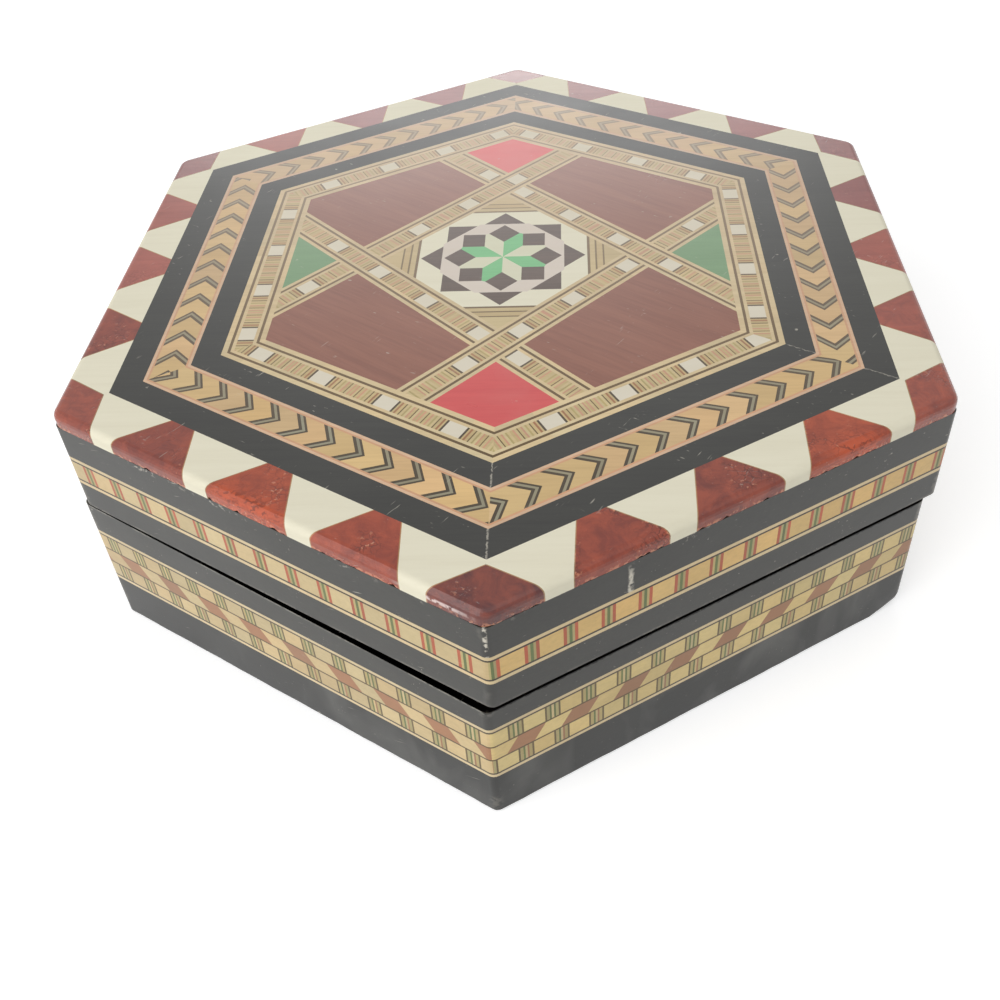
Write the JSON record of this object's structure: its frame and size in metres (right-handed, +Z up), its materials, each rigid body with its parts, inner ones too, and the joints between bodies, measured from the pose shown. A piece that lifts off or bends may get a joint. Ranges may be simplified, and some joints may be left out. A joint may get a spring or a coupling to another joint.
{
  "type": "marquetry trinket box",
  "caption": "Low hexagonal wooden trinket box veneered in geometric marquetry, with a lid that opens on small brass hinges at the back.",
  "frame": {"origin": "centre of the underside, on the table", "axes": "+Z up, -Y towards the front corner, +X to the right"},
  "size_m": [0.1217, 0.1396, 0.042],
  "materials": {
    "stained_wood": "stained, matt",
    "black_lacquer": "dyed black, lacquered satin",
    "maple": "lacquered satin",
    "ladder_maple": "lacquered satin",
    "orange_stringing": "lacquered satin",
    "dark_slips": "lacquered satin",
    "bone": "polished bone or a bone-like plastic, lacquered",
    "border_brown": "lacquered, worn at the edge",
    "brown_panel": "lacquered satin",
    "red_dyed": "dyed red, lacquered",
    "green_dyed": "dyed green, lacquered",
    "rosette_dark": "lacquered satin",
    "brass": "dull brass"
  },
  "bodies": {
    "base": {"base_wall_right": "stained_wood", "base_wall_back_right": "stained_wood", "base_wall_back_left": "stained_wood", "base_wall_left": "stained_wood", "base_wall_front_left": "stained_wood", "base_wall_front_right": "stained_wood", "base_floor_panel": "stained_wood", "base_lower_black_slips": "black_lacquer", "base_inlay_slips": "maple", "base_upper_black_slips": "black_lacquer", "hinge_base_leaves": "brass", "hinge_pins": "brass", "base_leaf_brads": "brass"},
    "lid": {"lid_wall_right": "stained_wood", "lid_wall_back_right": "stained_wood", "lid_wall_back_left": "stained_wood", "lid_wall_left": "stained_wood", "lid_wall_front_left": "stained_wood", "lid_wall_front_right": "stained_wood", "lid_top_board": "stained_wood", "lid_upper_black_slips": "black_lacquer", "lid_inlay_slips": "maple", "lid_lower_black_slips": "black_lacquer", "border_bone_pieces": "bone", "border_brown_pieces": "border_brown", "border_corner_pieces": "border_brown", "outer_black_band": "black_lacquer", "arrow_outer_stringing": "orange_stringing", "arrow_inner_stringing": "orange_stringing", "arrow_slips": "dark_slips", "arrow_maple_pieces": "maple", "inner_black_band": "black_lacquer", "frame_ladder_strips": "ladder_maple", "frame_bone_tesserae": "bone", "woven_band_front_left": "ladder_maple", "woven_band_front_right": "ladder_maple", "woven_band_back_right": "ladder_maple", "woven_band_back_left": "ladder_maple", "woven_bone_tesserae": "bone", "brown_panel_front_left": "brown_panel", "brown_panel_front_right": "brown_panel", "brown_panel_back_right": "brown_panel", "brown_panel_back_left": "brown_panel", "red_kite_front": "red_dyed", "red_kite_back": "red_dyed", "green_triangle_left": "green_dyed", "green_triangle_right": "green_dyed", "star_green_points": "green_dyed", "star_bone_points": "bone", "rosette_dark_squares": "rosette_dark", "rosette_bone_rhombi": "bone", "rosette_dark_triangles": "rosette_dark", "rosette_outer_rhombi": "bone", "rosette_corner_triangles": "ladder_maple", "hinge_lid_leaves": "brass", "lid_leaf_brads": "brass"}
  },
  "joints": [
    {"name": "lid_hinge", "type": "hinge", "parent": "base", "child": "lid", "pos_m": [-0.02956, 0.0512, 0.02444], "axis": [-0.866, -0.5, 0], "range_deg": [0, 105]}
  ]
}
